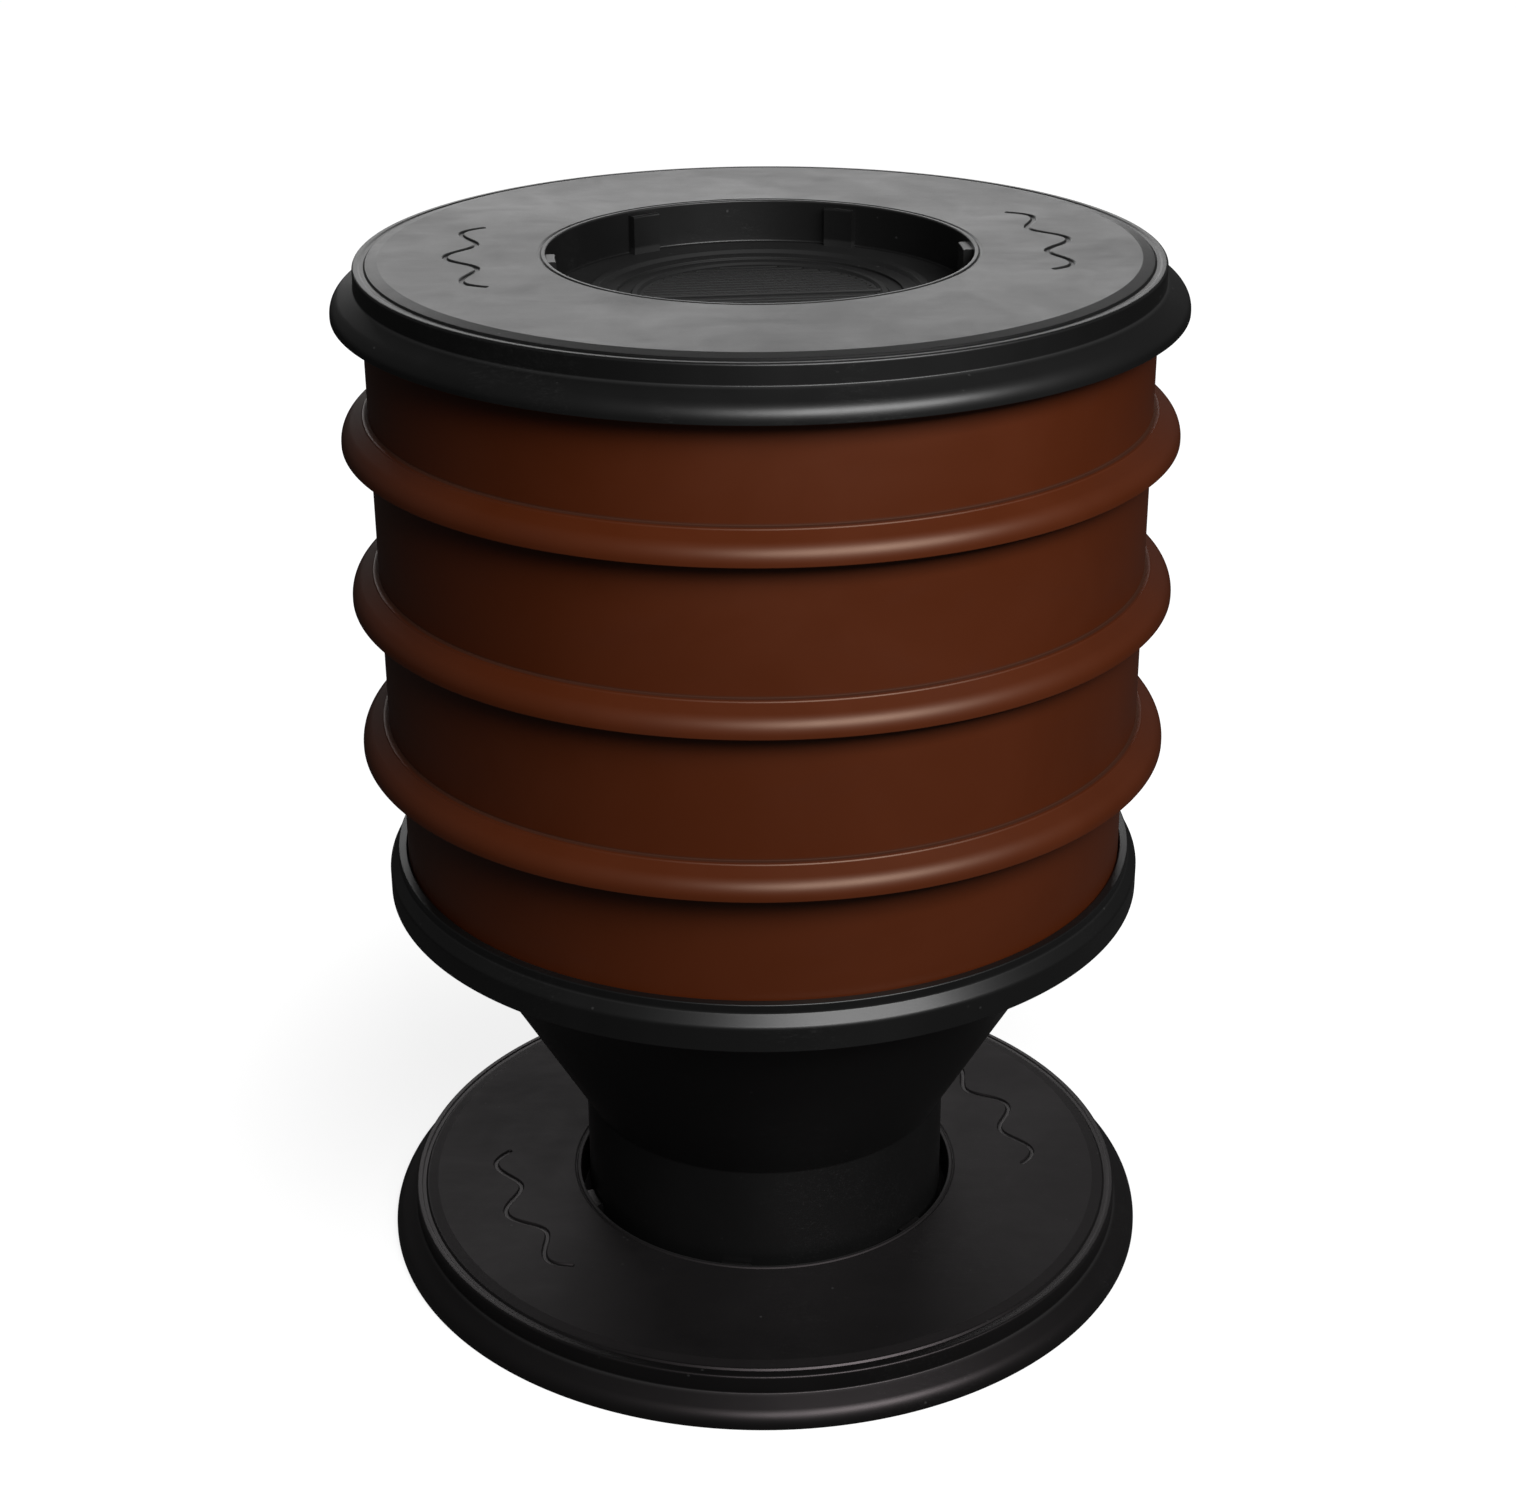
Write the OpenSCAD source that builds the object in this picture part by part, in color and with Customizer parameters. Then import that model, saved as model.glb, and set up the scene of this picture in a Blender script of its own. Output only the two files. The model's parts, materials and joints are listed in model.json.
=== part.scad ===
// Round stacking wormery: a lid, three nested working trays, a funnel sump and a foot plate.
// The mouldings lift off one another along one upright axis. The ground is at z = 0.

/* [Walls] */
// Thickness of every moulded wall
wall_t = 3; // [2:0.25:4]
// Thickness of the tray floors and of the sump's bottom
floor_t = 3; // [2:0.5:5]
// Bevel on the moulded lower edges
edge_bevel = 1; // [0.4:0.2:1.6]

/* [Trays] */
// Outer radius of a tray's upper wall
tray_r = 232; // [200:1:280]
// Height of a tray's top edge above its skirt's lower edge
tray_upper_h = 104.8; // [80:0.2:160]
// Height of the seat under the skirt that stands on the next tray's top edge
tray_seat_h = 8.2; // [5:0.2:10]
// Thickness of the ledge above that seat
ledge_t = 3; // [2:0.5:4]
// How far the seat reaches out past the wall that it stands on
seat_margin = 0.5; // [0.2:0.1:1]
// Gap between a tray's upper wall and the lower wall of the tray that nests in it
nest_gap = 3.4; // [1:0.2:6]
// Height at which a tray's floor stays above the ledge of the tray below
nest_stop = 9; // [5:0.5:20]

/* [Tray floors] */
// Radius of a drain hole
hole_r = 5; // [3:0.5:6]
// Number of rings of drain holes
hole_rings = 6; // [3:1:7]
// Distance from a tray's lower wall to the centres of the outer ring of holes
hole_margin = 21; // [19:0.5:30]

/* [Tray skirts] */
// How far a tray's skirt stands out from its upper wall
tray_skirt_out = 16.5; // [14:0.5:20]
// Height of the bead above the skirt's lower edge
tray_bead_h = 18.2; // [16:0.2:22]
// How far the bead stands out from the upper wall
tray_bead_out = 3.2; // [2:0.2:4]
// Height of the cove that runs from the bead into the wall
tray_cove_h = 6; // [3:0.5:9]
// Radius of a skirt's round shoulder
skirt_round = 11; // [9:0.5:12]
// Height of the shoulder's centre above the skirt's lower edge
shoulder_h = 1.7; // [1:0.1:3]

/* [Covers] */
// Height of a cover from its skirt's lower edge to its face
cover_h = 30; // [28:0.5:40]
// Thickness of a cover's face
plate_t = 3; // [2.5:0.25:4]
// Gap between a cover's rim and the tray wall inside it
rim_gap = 0.6; // [0.3:0.1:1.5]
// How far a cover's skirt stands out from the tray wall
cover_skirt_out = 18; // [16:0.5:22]
// Height of the bead line above the skirt's lower edge
cover_bead_h = 16.3; // [15:0.1:18]
// How far the bead line stands out from the rim
cover_bead_out = 1.2; // [0.6:0.1:2]
// Width of the raised bead round the face
rim_bead_w = 6; // [5:0.5:9]
// Radius of that bead's outer edge
rim_round = 2; // [1:0.25:2.5]
// Width of the groove inside that bead
rim_groove_w = 3; // [2:0.5:4]
// Fall of the face towards that groove
face_fall = 1.4; // [0.6:0.1:1.6]
// Width over which the face falls
face_fall_w = 9.5; // [6:0.5:14]
// Number of stiffening ribs under the face
rib_count = 12; // [6:1:16]
// Depth of those ribs
rib_h = 14; // [8:0.5:18]

/* [Recess] */
// Number of centring pads round the recess
pad_count = 6; // [3:1:8]
// Width of a pad
pad_w = 19; // [10:0.5:30]
// How far a pad stands out from the recess wall
pad_t = 5.7; // [4:0.1:8]
// Gap between a pad and the sump's neck
pad_gap = 0.4; // [0.3:0.1:1]
// Distance from a pad's top to the face
pad_drop = 2.5; // [2:0.5:6]
// Thickness of the recess floor
recess_floor_t = 4; // [3.5:0.25:6]
// Radius of the recess edge
recess_round = 1.5; // [0.5:0.25:1.75]
// Distance from the recess to the fine line round it
collar_w = 3.2; // [3:0.2:6]
// Half width and depth of that fine line
collar_line = 0.9; // [0.4:0.1:1.2]

/* [Vent] */
// Distance from the neck's radius to the sunk vent panel
vent_margin = 34; // [28:0.5:40]
// Depth to which the vent panel is sunk
vent_sink = 1.6; // [0.6:0.1:2]
// Width of the plain border round the slots
vent_border = 14; // [10:0.5:20]
// Spacing of the slots
vent_pitch = 5.9; // [5:0.1:9]
// Width of a slot
vent_slot_w = 3; // [2:0.1:3.6]
// Width of the solid bar across the middle
vent_bar_w = 9; // [6:0.5:14]
// Width of the rings and ribs that stand on the recess floor
ridge_w = 3; // [2:0.25:4]
// Height of those rings and ribs
ridge_h = 1.5; // [0.5:0.25:2]

/* [Grooves] */
// Width of the wavy grooves in the face
groove_w = 3; // [2:0.25:4]
// Depth of the wavy grooves
groove_depth = 1.2; // [0.5:0.1:1.6]
// Swing of the wave to each side of its arc
groove_swing = 8; // [4:0.5:9]
// Number of waves in a groove
groove_waves = 2.5; // [1:0.5:3]
// Angle that a groove spans
groove_span_a = 48; // [30:1:60]

/* [Sump] */
// Outer radius of the sump's neck
neck_r = 118.5; // [100:0.5:130]
// Height of the neck
neck_h = 91.4; // [50:0.2:140]
// Height of the funnel from the neck to the sump's lower rim edge
funnel_h = 159.5; // [100:0.5:220]
// Height of the sump's rim
sump_rim_h = 27.4; // [24:0.2:34]
// How far the sump's rim stands out from the tray wall
sump_skirt_out = 5.5; // [4.5:0.25:8]
// Height of the lip above the seat of the bottom tray
lip_up = 4.7; // [3:0.1:7]
// Height of the lip's plain band
lip_h = 5.7; // [4:0.1:7]
// Gap between the lip and the bottom tray
lip_gap = 0.7; // [0.4:0.1:1.5]
// Width of the seat that the bottom tray stands on
seat_w = 8.6; // [6:0.2:11]
// Radius of the rim's shoulder
sump_round = 4.2; // [4.1:0.1:5]
// Width of the foot ring under the neck
neck_foot_w = 8; // [5:0.5:12]
// Height of the neck's bottom above its foot ring
neck_arch_h = 3; // [2.5:0.25:5]

/* [Placing] */
// Angle to which the lid is turned
lid_turn_a = 5.8; // [-30:0.1:30]
// Angle to which the foot plate is turned
foot_turn_a = 201; // [180:1:220]

/* [Hidden] */

black = [0.13, 0.13, 0.14];
brown = [0.28, 0.12, 0.07];
round_fn = 180;
arc_steps = 6;
groove_steps = 48;
overrun = 2;
// Height of the vent's middle rib, as a share of the rings' height
rib_share = 0.8;

// Radii that the mouldings share
nest_r = tray_r - wall_t - nest_gap;
seat_r = tray_r + seat_margin;
tray_skirt_r = tray_r + tray_skirt_out;
rim_in_r = tray_r + rim_gap;
rim_out_r = rim_in_r + wall_t;
cover_skirt_r = tray_r + cover_skirt_out;
recess_r = neck_r + pad_gap + pad_t;
recess_out_r = recess_r + wall_t;
panel_r = neck_r - vent_margin;
slots_r = panel_r - vent_border;
sump_skirt_r = tray_r + sump_skirt_out;
lip_in_r = nest_r + lip_gap;

// Heights within a moulding, from its lower edge
under_h = cover_h - plate_t;
panel_h = recess_floor_t - vent_sink;
tray_pitch = tray_upper_h - tray_seat_h;
tray_lower_h = tray_pitch - tray_seat_h - ledge_t - nest_stop;
sump_rim_z = neck_h + funnel_h;
sump_seat_h = sump_rim_h - lip_up;

// Heights at which the mouldings stand
sump_z = recess_floor_t;
tray_3_z = sump_z + sump_rim_z + sump_seat_h + tray_lower_h;
tray_2_z = tray_3_z + tray_pitch;
tray_1_z = tray_2_z + tray_pitch;
lid_z = tray_1_z + tray_upper_h - under_h;

function reversed(points) = [for (i = [len(points) - 1 : -1 : 0]) points[i]];

function arc(centre, r, from_a, to_a) =
    [for (i = [0 : arc_steps])
        let (a = from_a + (to_a - from_a) * i / arc_steps)
        centre + r * [cos(a), sin(a)]];

// Slope below level of the flank that runs from a bead onto a round shoulder
function flank_a(bead, centre, r) =
    let (d = centre - bead)
    atan2(-d[1], d[0]) - asin(r / norm(d));

// A skirt's section from the flank's foot, over the shoulder, down to the lower edge at edge_r
function shoulder(centre, r, slope_a, edge_r, edge_z) =
    concat(arc(centre, r, 90 - slope_a, 0), [[edge_r, edge_z]]);

// Height of a flank at a radius, and radius of a flank at a height
function flank_z(foot, slope_a, r) = foot[1] + (foot[0] - r) * tan(slope_a);
function flank_r(foot, slope_a, z) = foot[0] - (z - foot[1]) / tan(slope_a);

// Half section of a cover, from the underside of its recess round to the top of its vent panel
function cover_section() =
    let (bead = [rim_out_r + cover_bead_out, cover_bead_h],
         centre = [cover_skirt_r - skirt_round, shoulder_h],
         slope_a = flank_a(bead, centre, skirt_round),
         inner = shoulder(centre, skirt_round - wall_t, slope_a, cover_skirt_r - wall_t, 0),
         outer = shoulder(centre, skirt_round, slope_a, cover_skirt_r, 0),
         bead_in_r = rim_out_r - rim_bead_w,
         groove_in_r = bead_in_r - rim_groove_w,
         collar_r = recess_r + collar_w,
         ridge_r = (panel_r + neck_r - neck_foot_w) / 2)
    concat(
        [[0, 0], [recess_out_r - edge_bevel, 0], [recess_out_r, edge_bevel],
         [recess_out_r, under_h], [rim_in_r, under_h],
         [rim_in_r, flank_z(inner[0], slope_a, rim_in_r)]],
        inner,
        reversed(outer),
        [bead, [rim_out_r, cover_bead_h + cover_bead_out]],
        arc([rim_out_r - rim_round, cover_h - rim_round], rim_round, 0, 90),
        [[bead_in_r, cover_h],
         [bead_in_r - rim_groove_w / 3, cover_h - face_fall],
         [groove_in_r, cover_h - face_fall],
         [groove_in_r - face_fall_w, cover_h],
         [collar_r + collar_line, cover_h],
         [collar_r, cover_h - collar_line],
         [collar_r - collar_line, cover_h]],
        arc([recess_r + recess_round, cover_h - recess_round], recess_round, 90, 180),
        [[recess_r, recess_floor_t],
         [ridge_r + ridge_w, recess_floor_t],
         [ridge_r + ridge_w / 2, recess_floor_t + ridge_h],
         [ridge_r - ridge_w / 2, recess_floor_t + ridge_h],
         [ridge_r - ridge_w, recess_floor_t],
         [panel_r, recess_floor_t],
         [panel_r, panel_h],
         [slots_r + 2 * ridge_w, panel_h],
         [slots_r + 3 * ridge_w / 2, panel_h + ridge_h],
         [slots_r + ridge_w / 2, panel_h + ridge_h],
         [slots_r, panel_h],
         [0, panel_h]]);

// Half section of a tray, from its floor's underside out and up, and back down its inside
function tray_section() =
    let (bead = [tray_r + tray_bead_out, tray_bead_h],
         centre = [tray_skirt_r - skirt_round, shoulder_h],
         slope_a = flank_a(bead, centre, skirt_round),
         inner = shoulder(centre, skirt_round - wall_t, slope_a, tray_skirt_r - wall_t, 0),
         outer = shoulder(centre, skirt_round, slope_a, tray_skirt_r, 0),
         ledge_h = tray_seat_h + ledge_t)
    concat(
        [[0, -tray_lower_h],
         [nest_r - edge_bevel, -tray_lower_h],
         [nest_r, edge_bevel - tray_lower_h],
         [nest_r, tray_seat_h],
         [seat_r, tray_seat_h],
         [seat_r, flank_z(inner[0], slope_a, seat_r)]],
        inner,
        reversed(outer),
        [bead,
         [tray_r + tray_bead_out / 4, tray_bead_h + tray_cove_h / 3],
         [tray_r, tray_bead_h + tray_cove_h],
         [tray_r, tray_upper_h],
         [tray_r - wall_t, tray_upper_h],
         [tray_r - wall_t, ledge_h],
         [nest_r - wall_t, ledge_h],
         [nest_r - wall_t, floor_t - tray_lower_h],
         [0, floor_t - tray_lower_h]]);

// Half section of the sump, from the bottom of its neck out and up to the lip, and back down
function sump_section() =
    let (seat_z = sump_rim_z + sump_seat_h,
         under_z = seat_z - wall_t,
         top_z = sump_rim_z + sump_rim_h,
         bead = [tray_r, top_z - lip_h],
         centre = [sump_skirt_r - sump_round, sump_rim_z + sump_rim_h / 2],
         slope_a = flank_a(bead, centre, sump_round),
         inner = shoulder(centre, sump_round - wall_t, slope_a, sump_skirt_r - wall_t, sump_rim_z),
         outer = shoulder(centre, sump_round, slope_a, sump_skirt_r, sump_rim_z),
         funnel_top = [nest_r - seat_w + wall_t, under_z],
         lean = (funnel_top[0] - neck_r) / (under_z - neck_h),
         wall_across = wall_t * norm([1, lean]),
         neck_in_r = neck_r - wall_t)
    concat(
        [[0, neck_arch_h],
         [neck_r - neck_foot_w - edge_bevel, neck_arch_h],
         [neck_r - neck_foot_w, 0],
         [neck_r - edge_bevel, 0],
         [neck_r, edge_bevel],
         [neck_r, neck_h],
         funnel_top,
         [flank_r(inner[0], slope_a, under_z), under_z]],
        inner,
        reversed(outer),
        [bead,
         [tray_r, top_z],
         [lip_in_r, top_z],
         [lip_in_r, seat_z],
         [funnel_top[0] + wall_t * lean - wall_across, seat_z],
         [neck_in_r, neck_h + (wall_across - wall_t) / lean],
         [neck_in_r, neck_arch_h + floor_t],
         [0, neck_arch_h + floor_t]]);

module turned(section) {
    rotate_extrude($fn = round_fn)
        polygon(section);
}

// Radius and direction of a groove's centre line at a share of its length
function wave_point(share) =
    let (mid_r = (recess_r + collar_w + tray_r - rim_bead_w - rim_groove_w - face_fall_w) / 2,
         r = mid_r + groove_swing * sin(360 * groove_waves * share),
         a = groove_span_a * (share - 1 / 2))
    r * [cos(a), sin(a)];

// Edge of a groove, half its width to one side of the centre line
function wave_edge(side) =
    [for (i = [0 : groove_steps])
        let (share = i / groove_steps,
             step_share = 1 / groove_steps / 2,
             d = wave_point(share + step_share) - wave_point(share - step_share),
             across = [-d[1], d[0]] / norm(d))
        wave_point(share) + side * groove_w / 2 * across];

// One wavy groove with round ends, as the solid that is cut from the face
module wavy_groove() {
    linear_extrude(height = groove_depth + overrun)
        polygon(concat(wave_edge(1), reversed(wave_edge(-1))));
    for (share = [0, 1])
        translate(wave_point(share))
            cylinder(h = groove_depth + overrun, r = groove_w / 2, $fn = 24);
}

// Parallel slots through the vent panel, left solid along the middle bar
module vent_slots() {
    first_y = (vent_bar_w + vent_slot_w) / 2;
    count = floor((slots_r - ridge_w - first_y) / vent_pitch);
    for (side = [0, 1], i = [0 : count])
        mirror([0, side, 0])
            vent_slot(first_y + i * vent_pitch);
}

// One slot at a distance from the middle, whose ends keep clear of the ring round the slots
module vent_slot(y) {
    far_y = y + vent_slot_w / 2;
    reach_r = slots_r - ridge_w / 2;
    half_l = sqrt(reach_r * reach_r - far_y * far_y);
    translate([-half_l, y - vent_slot_w / 2, -overrun])
        cube([2 * half_l, vent_slot_w, panel_h + 2 * overrun]);
}

// Centring pads that hold the neck upright, standing on the recess floor
module centring_pads() {
    pad_in_r = recess_r - pad_t;
    pad_top = cover_h - pad_drop;
    intersection() {
        turned([[pad_in_r, recess_floor_t / 2], [recess_r + wall_t / 2, recess_floor_t / 2],
                [recess_r + wall_t / 2, pad_top], [pad_in_r + edge_bevel, pad_top],
                [pad_in_r, pad_top - edge_bevel]]);
        for (i = [0 : pad_count - 1])
            rotate([0, 0, 360 / pad_count * i])
                translate([0, -pad_w / 2, 0])
                    cube([recess_out_r, pad_w, cover_h]);
    }
}

// Stiffening ribs under the face, from the recess to where the tray's wall begins
module face_ribs() {
    for (i = [0 : rib_count - 1])
        rotate([0, 0, 360 / rib_count * (i + 1 / 2)])
            translate([recess_out_r - wall_t / 2, -wall_t / 2, under_h - rib_h])
                cube([nest_r - recess_out_r + wall_t / 2, wall_t, rib_h + plate_t / 4]);
}

// Straight rib along the middle bar of the vent panel, which runs into the ring round the slots
module vent_rib() {
    half_l = slots_r + ridge_w;
    translate([-half_l, -ridge_w / 2, panel_h / 2])
        cube([2 * half_l, ridge_w, panel_h / 2 + ridge_h * rib_share]);
}

// The moulding that serves both as the lid and as the foot plate
module cover() {
    difference() {
        union() {
            turned(cover_section());
            centring_pads();
            face_ribs();
            vent_rib();
        }
        vent_slots();
        for (side = [0, 1])
            mirror([side, 0, 0])
                translate([0, 0, cover_h - groove_depth])
                    wavy_groove();
    }
}

// Drain holes on rings round the middle, six more on each ring than on the one inside it
module drain_holes() {
    ring_pitch = (nest_r - wall_t - hole_margin) / hole_rings;
    for (ring = [0 : hole_rings])
        for (i = [0 : max(6 * ring, 1) - 1])
            rotate([0, 0, 360 / max(6 * ring, 1) * i])
                translate([ring_pitch * ring, 0, -tray_lower_h - overrun])
                    cylinder(h = floor_t + 2 * overrun, r = hole_r, $fn = 24);
}

module tray() {
    difference() {
        turned(tray_section());
        drain_holes();
    }
}

module lid() {
    color(black)
        translate([0, 0, lid_z])
            rotate([0, 0, lid_turn_a])
                cover();
}

module tray_1() {
    color(brown)
        translate([0, 0, tray_1_z])
            tray();
}

module tray_2() {
    color(brown)
        translate([0, 0, tray_2_z])
            tray();
}

module tray_3() {
    color(brown)
        translate([0, 0, tray_3_z])
            tray();
}

module sump() {
    color(black)
        translate([0, 0, sump_z])
            turned(sump_section());
}

module foot_plate() {
    color(black)
        rotate([0, 0, foot_turn_a])
            cover();
}

lid();
tray_1();
tray_2();
tray_3();
sump();
foot_plate();
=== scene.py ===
"""Dresses the round stacking wormery and sets its studio.

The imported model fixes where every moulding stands. Each moulding is turned again here with finer
sections, rounded edges and cut detail, and takes its plastic from the finishes below. Sizes of mouldings
are in millimetres, and meshes are brought to metres when they are made.
"""

from __future__ import annotations

import json
import logging
import math
from dataclasses import dataclass, field
from enum import Enum
from typing import Callable, Iterable, Sequence, Union

import bmesh
import bpy
from mathutils import Matrix, Vector

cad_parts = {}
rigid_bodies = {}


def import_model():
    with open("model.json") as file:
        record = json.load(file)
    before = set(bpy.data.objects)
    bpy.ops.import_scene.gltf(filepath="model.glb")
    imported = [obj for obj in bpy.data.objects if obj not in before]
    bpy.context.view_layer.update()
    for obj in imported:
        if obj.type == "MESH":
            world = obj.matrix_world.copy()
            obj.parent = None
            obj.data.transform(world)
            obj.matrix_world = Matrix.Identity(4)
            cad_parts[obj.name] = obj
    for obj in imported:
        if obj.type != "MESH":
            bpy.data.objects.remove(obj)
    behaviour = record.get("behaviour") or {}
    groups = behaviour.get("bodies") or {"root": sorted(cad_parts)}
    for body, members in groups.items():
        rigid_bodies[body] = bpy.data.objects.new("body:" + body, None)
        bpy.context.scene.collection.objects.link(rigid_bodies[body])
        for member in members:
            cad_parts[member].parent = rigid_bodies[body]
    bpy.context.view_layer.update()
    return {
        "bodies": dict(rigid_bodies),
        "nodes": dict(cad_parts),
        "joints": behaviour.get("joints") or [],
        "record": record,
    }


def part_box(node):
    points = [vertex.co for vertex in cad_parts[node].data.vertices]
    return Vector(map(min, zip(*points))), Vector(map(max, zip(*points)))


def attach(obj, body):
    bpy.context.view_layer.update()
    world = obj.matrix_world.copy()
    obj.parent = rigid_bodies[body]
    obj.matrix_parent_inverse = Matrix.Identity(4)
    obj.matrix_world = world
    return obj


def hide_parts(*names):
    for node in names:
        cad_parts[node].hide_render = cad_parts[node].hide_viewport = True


log = logging.getLogger("wormery")

MM = 0.001
MERGE_REACH = MM / 500
LEAST_LENGTH = MM / 1000
TURN_STEPS = 288
SHARP_ANGLE = math.radians(38.0)


class Carve(Enum):
    """How one solid works on another."""

    JOIN = "UNION"
    CUT = "DIFFERENCE"


# Sections and meshes


class Section:
    """Half section of a turned moulding, drawn as corners that may be rounded.

    A rounding is given a holding point on each side, so that flat faces beside it stay flat in shade.
    """

    ROUND_STEPS = 6
    HOLD = 0.4
    SIDE_SHARE = 0.45

    def __init__(self) -> None:
        """Starts an empty section."""
        self.corners: list[tuple[Vector, float]] = []

    def to(self, r: float, z: float, rounding: float = 0.0) -> "Section":
        """Adds one corner.

        Args:
            r: Radius from the axis.
            z: Height.
            rounding: Radius of the rounding at the corner.

        Returns:
            The section itself.
        """
        self.corners.append((Vector((r, z)), rounding))
        return self

    def arc(self, centre: Vector, radius: float, from_deg: float, to_deg: float,
            steps: int = 14) -> "Section":
        """Adds an arc of plain points.

        Args:
            centre: Centre as radius and height.
            radius: Radius of the arc.
            from_deg: Angle of its first point, counted from outwards to upwards.
            to_deg: Angle of its last point.
            steps: Number of its chords.

        Returns:
            The section itself.
        """
        for i in range(steps + 1):
            a = math.radians(from_deg + (to_deg - from_deg) * i / steps)
            self.to(centre.x + radius * math.cos(a), centre.y + radius * math.sin(a))
        return self

    def outline(self) -> list[Vector]:
        """Works the roundings out.

        Returns:
            The points of the closed outline, in order.
        """
        points: list[Vector] = []
        count = len(self.corners)
        for i, (here, rounding) in enumerate(self.corners):
            if rounding <= 0.0:
                points.append(here)
                continue
            before = self.corners[i - 1][0] - here
            after = self.corners[(i + 1) % count][0] - here
            points.extend(self._rounded(here, before, after, rounding))
        return points

    def _rounded(self, here: Vector, before: Vector, after: Vector, rounding: float) -> list[Vector]:
        """Rounds one corner.

        Args:
            here: The corner.
            before: Way to the corner before it.
            after: Way to the corner after it.
            rounding: Radius asked for, which a short side may lessen.

        Returns:
            The points that take the corner's place.
        """
        half = before.angle(after) / 2
        room = self.SIDE_SHARE * min(before.length, after.length)
        reach = min(rounding / math.tan(half), room)
        radius = reach * math.tan(half)
        first, last = before.normalized(), after.normalized()
        centre = here + (first + last).normalized() * (radius / math.sin(half))
        start, end = here + first * reach - centre, here + last * reach - centre
        sweep = start.angle(end)
        points = []
        if reach + self.HOLD < before.length / 2:
            points.append(here + first * (reach + self.HOLD))
        for i in range(self.ROUND_STEPS + 1):
            share = i / self.ROUND_STEPS
            spoke = start * math.sin((1 - share) * sweep) + end * math.sin(share * sweep)
            points.append(centre + spoke / math.sin(sweep))
        if reach + self.HOLD < after.length / 2:
            points.append(here + last * (reach + self.HOLD))
        return points


def merge_points(bm: bmesh.types.BMesh) -> None:
    """Merges doubled points and dissolves edges that have no length."""
    bmesh.ops.remove_doubles(bm, verts=bm.verts, dist=MERGE_REACH)
    bmesh.ops.dissolve_degenerate(bm, edges=bm.edges, dist=LEAST_LENGTH)


def turned(section: Section, angle: float = math.tau, steps: int = TURN_STEPS) -> bmesh.types.BMesh:
    """Turns a section about the upright axis.

    Args:
        section: The half section, drawn as a closed outline.
        angle: Angle of the turn, a full one as a rule.
        steps: Number of faces round the turn.

    Returns:
        A closed mesh, in metres.
    """
    bm = bmesh.new()
    verts = [bm.verts.new((p.x * MM, 0.0, p.y * MM)) for p in section.outline()]
    full = angle >= math.tau
    if full:
        on_axis = [v.co.x < LEAST_LENGTH for v in verts]
        pairs = [(i, (i + 1) % len(verts)) for i in range(len(verts))]
        geometry = [bm.edges.new((verts[a], verts[b])) for a, b in pairs if not (on_axis[a] and on_axis[b])]
    else:
        geometry = [bm.faces.new(verts)]
        geometry += list(geometry[0].edges)
    bmesh.ops.spin(bm, geom=verts + geometry, cent=(0, 0, 0), axis=(0, 0, 1), dvec=(0, 0, 0),
                   angle=angle, steps=steps, use_merge=full, use_duplicate=False)
    merge_points(bm)
    bmesh.ops.recalc_face_normals(bm, faces=bm.faces)
    return bm


def block(low: Sequence[float], high: Sequence[float], bevel: float = 0.0, segments: int = 2,
          upright_only: bool = False) -> bmesh.types.BMesh:
    """Makes a box between two corners, with rounded edges.

    Args:
        low: Lowest corner in millimetres.
        high: Highest corner in millimetres.
        bevel: Radius of its edges.
        segments: Number of faces across an edge.
        upright_only: Whether only the upright edges are rounded.

    Returns:
        A closed mesh, in metres.
    """
    bm = bmesh.new()
    bmesh.ops.create_cube(bm, size=1.0)
    middle = Vector([(a + b) / 2 * MM for a, b in zip(low, high)])
    bmesh.ops.scale(bm, vec=[(b - a) * MM for a, b in zip(low, high)], verts=bm.verts)
    bmesh.ops.translate(bm, vec=middle, verts=bm.verts)
    edges = [e for e in bm.edges if not upright_only or abs(e.verts[0].co.z - e.verts[1].co.z) > LEAST_LENGTH]
    if bevel > 0.0:
        bmesh.ops.bevel(bm, geom=edges, offset=bevel * MM, offset_type="OFFSET", segments=segments,
                        profile=0.5, affect="EDGES", clamp_overlap=True, material=-1)
    return bm


def rod(r: float, low_z: float, high_z: float, flare: float, sides: int = 20) -> bmesh.types.BMesh:
    """Makes the round cutter of one drain hole, which widens to soften the hole's upper edge.

    Args:
        r: Radius of the hole.
        low_z: Lower end.
        high_z: Height of the floor's upper face.
        flare: Size of the softened edge.
        sides: Number of its sides.

    Returns:
        A closed mesh, in metres.
    """
    soft, mouth, rise, clear = flare / 3, flare * 1.2, flare / 8, flare * 2
    section = Section().to(0, low_z).to(r, low_z).to(r, high_z - flare)
    section.to(r + soft, high_z - soft).to(r + mouth, high_z + rise)
    section.to(r + mouth, high_z + clear).to(0, high_z + clear)
    return turned(section, steps=sides)


def gathered(parts: Iterable[tuple[bmesh.types.BMesh, Matrix]]) -> bmesh.types.BMesh:
    """Gathers several small meshes into one.

    Args:
        parts: Each mesh with the transform that places it. The meshes are used up.

    Returns:
        One mesh that holds them all.
    """
    whole = bmesh.new()
    for bm, place in parts:
        bmesh.ops.transform(bm, matrix=place, verts=bm.verts)
        scratch = bpy.data.meshes.new("scratch")
        bm.to_mesh(scratch)
        whole.from_mesh(scratch)
        bm.free()
        bpy.data.meshes.remove(scratch)
    return whole


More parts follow.
